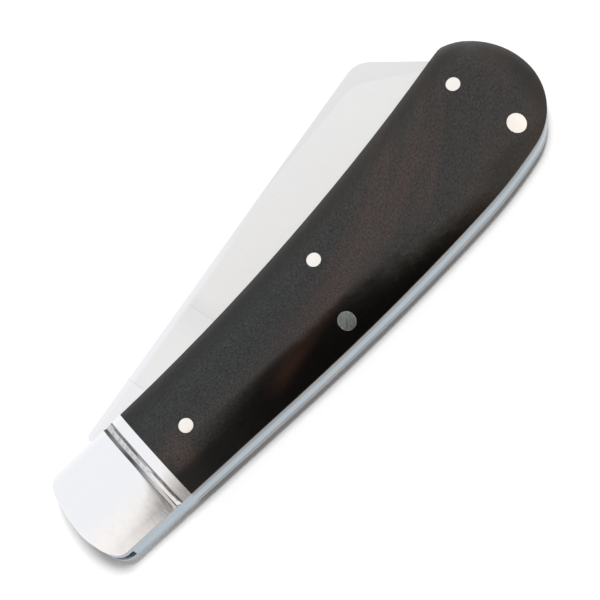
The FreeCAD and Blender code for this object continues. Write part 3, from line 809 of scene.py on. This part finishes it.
class KNIFE_OT_stage(bpy.types.Operator):
    """Set the floor, the light and the camera"""

    bl_idname = "knife.stage"
    bl_label = "Stage"

    def execute(self, context):
        stage = context.scene.knife.stage
        self.lay_floor(stage)
        self.light_world(context.scene, stage)
        self.hang_softbox(stage)
        self.place_camera(context.scene, stage)
        context.scene.view_settings.view_transform = "Standard"
        return {"FINISHED"}

    def lay_floor(self, stage):
        """White paper under the knife."""
        bpy.ops.object.select_all(action="DESELECT")
        bpy.ops.mesh.primitive_plane_add(size=stage.floor_size, location=(0, 0, 0))
        floor = bpy.context.object
        floor.name = "floor"
        material, bench = new_material("white paper")
        paper = bench.add("ShaderNodeBsdfDiffuse", {"Color": stage.floor})
        seen = bench.add("ShaderNodeLightPath")
        rays = bench.math("ADD", seen.outputs["Is Camera Ray"], seen.outputs["Is Glossy Ray"], clamp=True)
        # The lamp's light falls off over the paper, so the paper is lifted the more the farther it lies
        where = bench.add("ShaderNodeTexCoord").outputs["Object"]
        far = bench.add("ShaderNodeVectorMath", {0: where}, operation="LENGTH").outputs["Value"]
        lift = bench.times(rays, bench.ramp(far, *PAPER_FAR, stage.floor_lift, 1.0))
        glow = bench.add("ShaderNodeEmission", {"Color": stage.floor, "Strength": lift})
        both = bench.add("ShaderNodeAddShader", {0: paper.outputs[0], 1: glow.outputs[0]})
        bench.add("ShaderNodeOutputMaterial", {"Surface": both.outputs[0]})
        floor.data.materials.append(material)

    def dark_part(self, bench, along, across, up):
        """Where the room is dark: high on the back's side, in a middle that falls away to both sides."""
        edge = across
        for way, begin, slope in DARK_SIDES:
            past = bench.most(bench.minus(bench.times(along, way), begin), 0.0)
            edge = bench.plus(edge, bench.times(past, slope))
        return bench.times(bench.ramp(edge, *DARK_ACROSS), bench.ramp(up, *DARK_UP))

    def light_world(self, scene, stage):
        """Shade light from all round, and the white room with a dark part that polished surfaces show."""
        world = bpy.data.worlds.new("studio")
        world.use_nodes = True
        world.node_tree.nodes.clear()
        bench = NodeBench(world.node_tree)
        along, across, up = bench.split(bench.add("ShaderNodeTexCoord").outputs["Generated"])
        shade = bench.ramp(across, *SHADE_ACROSS, stage.low_sky, stage.sky)
        dark = self.dark_part(bench, along, across, up)
        gloss = bench.ramp(dark, 0.0, 1.0, stage.gloss_sky, stage.gloss_sky * stage.dark_sky)
        # The room is cool on the blade's side, warm on the back's, and brown where it turns dark
        warmth = bench.ramp(across, *WARM_ACROSS)
        warmed = bench.mix(warmth, stage.cool_room, stage.warm_room)
        room = bench.mix(bench.ramp(dark, *BROWN_DARK), warmed, stage.brown_room)
        bright = bench.times(gloss, bench.lerp(warmth, 1.0, stage.warm_gain))
        # Only what the camera sees mirrored is the room: light that metal throws on the floor is plain shade
        rays = bench.add("ShaderNodeLightPath").outputs
        off_metal = bench.math("ADD", rays["Is Glossy Ray"], rays["Is Transmission Ray"], clamp=True)
        direct = bench.math("LESS_THAN", rays["Diffuse Depth"], HALF_BOUNCE)
        mirrored = bench.times(off_metal, direct)
        lit = bench.lerp(mirrored, shade, bright)
        level = bench.lerp(rays["Is Camera Ray"], lit, 1.0)
        tint = bench.mix(mirrored, WHITE, room)
        sky = bench.add("ShaderNodeBackground", {"Color": tint, "Strength": level})
        bench.add("ShaderNodeOutputWorld", {"Surface": sky.outputs[0]})
        world.cycles.sampling_method = "NONE"
        scene.world = world

    def hang_softbox(self, stage):
        """One soft light, almost straight above the knife."""
        hook = Vector(stage.key_place)
        bpy.ops.object.light_add(type="AREA", location=hook)
        softbox = bpy.context.object
        softbox.name = "softbox"
        softbox.data.shape = "SQUARE"
        softbox.data.size = stage.key_size
        softbox.data.energy = stage.key_power
        softbox.visible_glossy = False
        softbox.rotation_euler = (-hook).to_track_quat("-Z", "Y").to_euler()

    def place_camera(self, scene, stage):
        """The camera at the picture's own angle."""
        eye = Vector(stage.eye)
        ahead = (Vector(stage.target) - eye).normalized()
        right = ahead.cross(Vector((0, 1, 0))).normalized()
        up = right.cross(ahead)
        level = Matrix((right, up, -ahead)).transposed()
        bpy.ops.object.camera_add()
        camera = bpy.context.object
        camera.name = "camera"
        camera.data.lens = stage.lens
        camera.data.clip_start = CLIP_START
        turned = (level @ Matrix.Rotation(stage.roll, 3, "Z")).to_4x4()
        camera.matrix_world = Matrix.Translation(eye) @ turned
        scene.camera = camera


STEPS = (KNIFE_OT_covers, KNIFE_OT_bolsters, KNIFE_OT_blade, KNIFE_OT_back, KNIFE_OT_pins, KNIFE_OT_stage)


class KNIFE_PT_sidebar(bpy.types.Panel):
    """Lists the settings and the steps of the knife"""

    bl_label = "Folding Pocket Knife"
    bl_idname = "KNIFE_PT_sidebar"
    bl_space_type = "VIEW_3D"
    bl_region_type = "UI"
    bl_category = "Knife"

    def draw(self, context):
        settings = context.scene.knife
        for group in (settings.finish, settings.edges, settings.stage):
            box = self.layout.box()
            for name in group.__annotations__:
                box.prop(group, name)
        for step in STEPS:
            self.layout.operator(step.bl_idname)


CLASSES = (KnifeFinish, KnifeEdges, KnifeStage, KnifeSettings, *STEPS, KNIFE_PT_sidebar)


def register():
    for item in CLASSES:
        bpy.utils.register_class(item)
    bpy.types.Scene.knife = bpy.props.PointerProperty(type=KnifeSettings)


def unregister():
    del bpy.types.Scene.knife
    for item in reversed(CLASSES):
        bpy.utils.unregister_class(item)


def main():
    register()
    bpy.ops.knife.covers()
    bpy.ops.knife.bolsters()
    bpy.ops.knife.blade()
    bpy.ops.knife.back()
    bpy.ops.knife.pins()
    bpy.ops.knife.stage()


if __name__ == "__main__":
    main()
